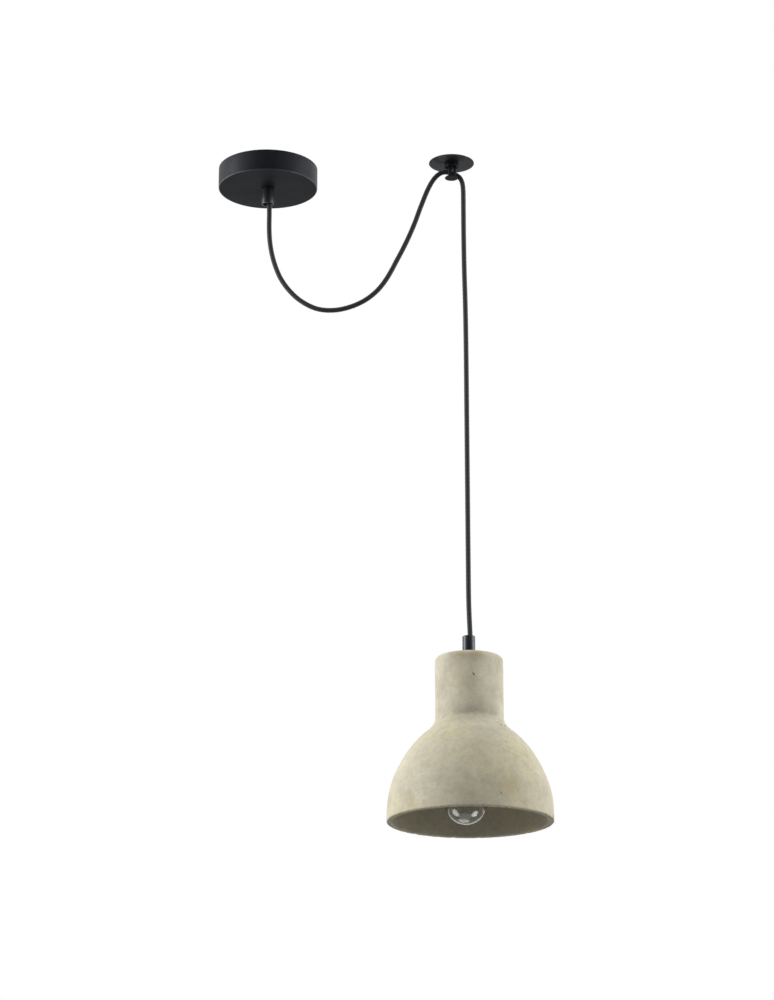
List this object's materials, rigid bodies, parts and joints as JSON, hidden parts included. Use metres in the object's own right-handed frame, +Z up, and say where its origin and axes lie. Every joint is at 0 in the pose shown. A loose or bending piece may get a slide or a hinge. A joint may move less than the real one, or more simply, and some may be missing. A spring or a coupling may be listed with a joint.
{
  "type": "pendant ceiling light",
  "caption": "Pendant light: concrete dome shade with a straight neck on a black cord that swags from a ceiling canopy over a hook, with a clear globe bulb.",
  "frame": {"origin": "centre of the ceiling bracket's top face, on the ceiling plane, at the canopy's axis", "axes": "+Z up into the ceiling, +X from the canopy towards the ceiling hook, +Y away from the usual viewer"},
  "size_m": [0.3986, 0.1924, 0.8217],
  "materials": {
    "black_paint": "satin",
    "black_cord": "matte",
    "concrete": "matte",
    "zinc_steel": "satin",
    "brass": "satin",
    "nylon": "matte",
    "rubber": "matte",
    "black_plastic": "satin",
    "ceramic": "matte",
    "clear_glass": "gloss",
    "black_glass": "gloss",
    "tungsten": "satin",
    "core_brown": "matte",
    "core_blue": "matte",
    "core_green": "matte"
  },
  "bodies": {
    "ceiling_set": {"mounting_bracket": "zinc_steel", "canopy_cup": "black_paint", "canopy_screw_left": "black_paint", "canopy_screw_right": "black_paint", "gland_body": "black_paint", "gland_locknut": "zinc_steel", "gland_grub_screw": "black_paint", "terminal_block": "nylon", "terminal_screw_1": "brass", "terminal_screw_2": "brass", "terminal_screw_3": "brass", "terminal_screw_4": "brass", "terminal_screw_5": "brass", "terminal_screw_6": "brass", "terminal_fixing_screw": "zinc_steel", "earth_ring_tag": "brass", "earth_screw": "brass", "core_live_upper": "core_brown", "core_neutral_upper": "core_blue", "core_earth_upper": "core_green", "hook_plate": "black_paint", "hook_boss": "black_paint", "hook_post": "black_paint", "hook_pin": "black_paint", "hook_button": "black_paint", "cord_swag": "black_cord", "cord_over_hook": "black_cord"},
    "cord_link": {"cord_link": "black_cord"},
    "pendant": {"cord_drop": "black_cord", "grip_body": "black_paint", "grip_grub_screw": "black_paint", "shade": "concrete", "rubber_washer": "rubber", "steel_washer": "zinc_steel", "shade_nut": "zinc_steel", "threaded_tube": "zinc_steel", "holder_locknut": "zinc_steel", "lampholder_cap": "black_plastic", "lampholder_skirt": "black_plastic", "lampholder_insert": "ceramic", "contact_shell": "brass", "centre_contact": "brass", "core_live_lower": "core_brown", "core_neutral_lower": "core_blue", "core_earth_lower": "core_green"},
    "bulb_thread": {"bulb_tip": "brass"},
    "bulb": {"bulb_insulator": "black_glass", "bulb_cap": "zinc_steel", "bulb_glass": "clear_glass", "bulb_stem": "clear_glass", "bulb_lead_left": "tungsten", "bulb_lead_right": "tungsten", "bulb_filament": "tungsten"}
  },
  "joints": [
    {"name": "swing_fore_aft", "type": "hinge", "parent": "ceiling_set", "child": "cord_link", "pos_m": [0.2397, -0.0166, -0.0475], "axis": [1, 0, 0], "range_deg": [-20, 20]},
    {"name": "swing_side", "type": "hinge", "parent": "cord_link", "child": "pendant", "pos_m": [0.2415, -0.0166, -0.086], "axis": [0, 1, 0], "range_deg": [-20, 20]},
    {"name": "bulb_travel", "type": "slide", "parent": "pendant", "child": "bulb_thread", "axis": [-0.0262, 0, -0.9997], "range_m": [0, 0.0144]},
    {"name": "bulb_turn", "type": "hinge", "parent": "bulb_thread", "child": "bulb", "pos_m": [0.23827, -0.0166, -0.74325], "axis": [-0.0262, 0, -0.9997], "range_deg": [0, 1440]}
  ],
  "couplings": [
    {"joint": "bulb_turn", "follows": "bulb_travel", "rad_per_m": 1745.3}
  ]
}
